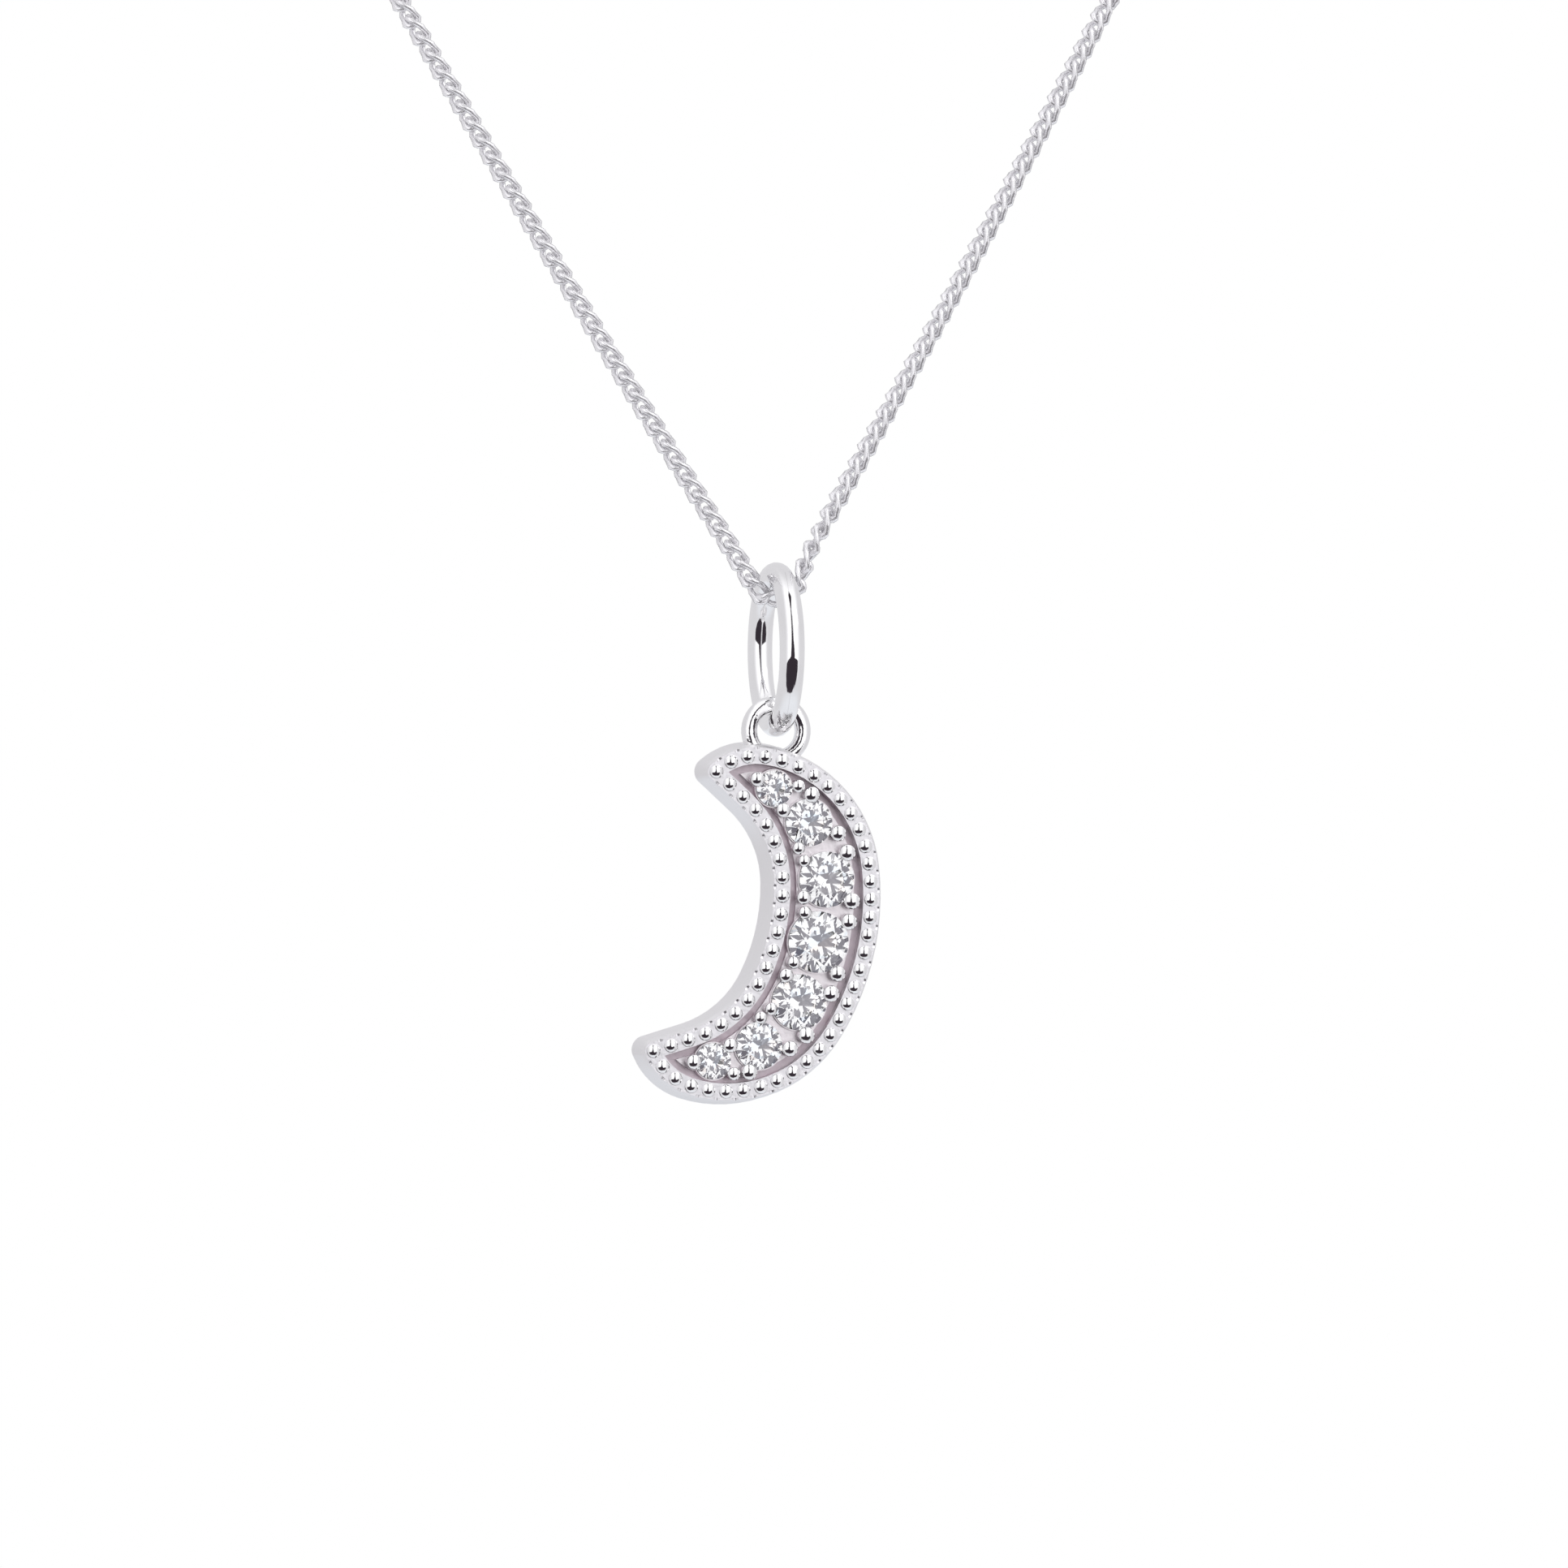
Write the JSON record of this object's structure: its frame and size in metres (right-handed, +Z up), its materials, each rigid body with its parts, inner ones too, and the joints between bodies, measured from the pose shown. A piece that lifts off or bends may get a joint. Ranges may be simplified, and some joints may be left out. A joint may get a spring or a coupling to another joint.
{
  "type": "crescent moon pendant necklace",
  "caption": "Crescent moon pendant with round stones in a beaded rim, hung by a large jump ring from a fine curb chain neck loop.",
  "frame": {"origin": "where the middle of the clasp rests on the nape of the neck", "axes": "+Z up, -Y from the nape towards the viewer in front, +X to the viewer's right"},
  "size_m": [0.118, 0.1045, 0.1388],
  "materials": {
    "silver": "mirror polished silver",
    "silver_fine": "polished silver chain",
    "stone": "clear faceted stone"
  },
  "bodies": {
    "neck_loop": {"chain": "silver_fine", "clasp": "silver_fine"},
    "ring": {"jump_ring": "silver"},
    "moon": {"moon_setting": "silver", "stone_1": "stone", "stone_2": "stone", "stone_3": "stone", "stone_4": "stone", "stone_5": "stone", "stone_6": "stone", "stone_7": "stone"}
  },
  "joints": [
    {"name": "ring_swing", "type": "hinge", "parent": "neck_loop", "child": "ring", "pos_m": [0, -0.09878, -0.11936], "axis": [1, 0, 0], "range_deg": [-80, 80]},
    {"name": "moon_sway", "type": "hinge", "parent": "ring", "child": "moon", "pos_m": [0, -0.09878, -0.12391], "axis": [0, 1, 0], "range_deg": [-60, 60]}
  ]
}
